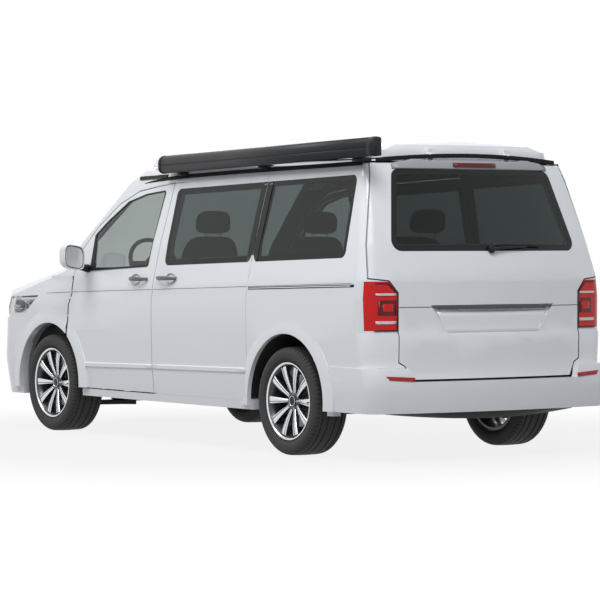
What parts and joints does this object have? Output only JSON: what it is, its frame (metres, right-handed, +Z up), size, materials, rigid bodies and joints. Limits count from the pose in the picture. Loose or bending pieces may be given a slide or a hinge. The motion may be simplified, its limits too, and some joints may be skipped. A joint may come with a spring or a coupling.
{
  "type": "camper van",
  "caption": "Compact camper van with hinged front doors, tailgate, bonnet and lifting roof, steered and rolling wheels, sliding side doors and a side awning.",
  "frame": {"origin": "On the ground, at the centre of the overall box over both mirrors and both bumpers", "axes": "+X is the vehicle's left, +Y its rear and +Z up"},
  "size_m": [2.297, 4.904, 1.9897],
  "materials": {
    "body": "gloss",
    "dark_trim": "gloss",
    "dark_plastic": "matte",
    "mirror_case": "gloss",
    "lamp_clear": "gloss",
    "lamp_red": "gloss",
    "clear_glass": "gloss",
    "dark_glass": "gloss",
    "awning_case": "satin",
    "seat_cloth": "matte",
    "underbody": "satin",
    "engine_block": "matte",
    "exhaust_steel": "satin",
    "alloy": "satin",
    "tyre_rubber": "matte"
  },
  "bodies": {
    "van": {"floor_pan": "underbody", "body_side_left": "body", "body_side_right": "body", "roof_frame": "body", "bulkhead": "body", "front_wings": "body", "front_bumper": "body", "grille": "dark_trim", "headlamps": "lamp_clear", "windscreen": "clear_glass", "sliding_doors": "body", "side_glass": "dark_glass", "rear_bumper": "body", "tail_lamps": "lamp_red", "roof_trim": "dark_trim", "awning": "awning_case", "dashboard": "dark_plastic", "front_seats": "seat_cloth", "rear_bench": "seat_cloth", "engine": "engine_block", "front_subframe": "underbody", "arch_liners": "dark_plastic", "rear_axle": "underbody", "fuel_tank": "dark_plastic", "exhaust": "exhaust_steel"},
    "bonnet": {"bonnet": "body"},
    "tailgate": {"tailgate": "body", "tailgate_glass": "dark_glass"},
    "front_door_left": {"front_door_left": "body", "front_door_glass_left": "clear_glass", "mirror_left": "mirror_case"},
    "front_door_right": {"front_door_right": "body", "front_door_glass_right": "clear_glass", "mirror_right": "mirror_case"},
    "pop_roof": {"pop_roof": "body"},
    "knuckle_left": {"knuckle_left": "underbody"},
    "knuckle_right": {"knuckle_right": "underbody"},
    "steering_wheel": {"steering_wheel": "dark_plastic"},
    "wheel_front_left": {"wheel_front_left": "alloy", "tyre_front_left": "tyre_rubber"},
    "wheel_front_right": {"wheel_front_right": "alloy", "tyre_front_right": "tyre_rubber"},
    "wheel_rear_left": {"wheel_rear_left": "alloy", "tyre_rear_left": "tyre_rubber"},
    "wheel_rear_right": {"wheel_rear_right": "alloy", "tyre_rear_right": "tyre_rubber"}
  },
  "joints": [
    {"name": "steer_left", "type": "hinge", "parent": "van", "child": "knuckle_left", "pos_m": [0.77, -1.544, 0.343], "axis": [0, 0, 1], "range_deg": [-35, 35]},
    {"name": "steer_right", "type": "hinge", "parent": "van", "child": "knuckle_right", "pos_m": [-0.77, -1.544, 0.343], "axis": [0, 0, 1], "range_deg": [-35, 35]},
    {"name": "steering_wheel_turn", "type": "hinge", "parent": "van", "child": "steering_wheel", "pos_m": [0.42, -0.98, 1.19], "axis": [0, 0.9063, 0.4226], "range_deg": [-560, 560]},
    {"name": "spin_front_left", "type": "hinge", "parent": "knuckle_left", "child": "wheel_front_left", "pos_m": [0.814, -1.544, 0.343], "axis": [1, 0, 0], "continuous": true},
    {"name": "spin_front_right", "type": "hinge", "parent": "knuckle_right", "child": "wheel_front_right", "pos_m": [-0.814, -1.544, 0.343], "axis": [1, 0, 0], "continuous": true},
    {"name": "spin_rear_left", "type": "hinge", "parent": "van", "child": "wheel_rear_left", "pos_m": [0.814, 1.456, 0.343], "axis": [1, 0, 0], "continuous": true},
    {"name": "spin_rear_right", "type": "hinge", "parent": "van", "child": "wheel_rear_right", "pos_m": [-0.814, 1.456, 0.343], "axis": [1, 0, 0], "continuous": true},
    {"name": "door_left", "type": "hinge", "parent": "van", "child": "front_door_left", "pos_m": [0.925, -1.262, 0.868], "axis": [0, 0, -1], "range_deg": [0, 70]},
    {"name": "door_right", "type": "hinge", "parent": "van", "child": "front_door_right", "pos_m": [-0.925, -1.262, 0.868], "axis": [0, 0, 1], "range_deg": [0, 70]},
    {"name": "tailgate_lift", "type": "hinge", "parent": "van", "child": "tailgate", "pos_m": [0, 2.13, 1.846], "axis": [1, 0, 0], "range_deg": [0, 85]},
    {"name": "bonnet_lift", "type": "hinge", "parent": "van", "child": "bonnet", "pos_m": [0, -1.68, 1.094], "axis": [-1, 0, 0], "range_deg": [0, 60]},
    {"name": "roof_lift", "type": "hinge", "parent": "van", "child": "pop_roof", "pos_m": [0, 2.109, 1.89], "axis": [-1, 0, 0], "range_deg": [0, 20]}
  ],
  "couplings": [
    {"joint": "steer_right", "follows": "steer_left", "ratio": 1},
    {"joint": "steering_wheel_turn", "follows": "steer_left", "ratio": 16}
  ]
}
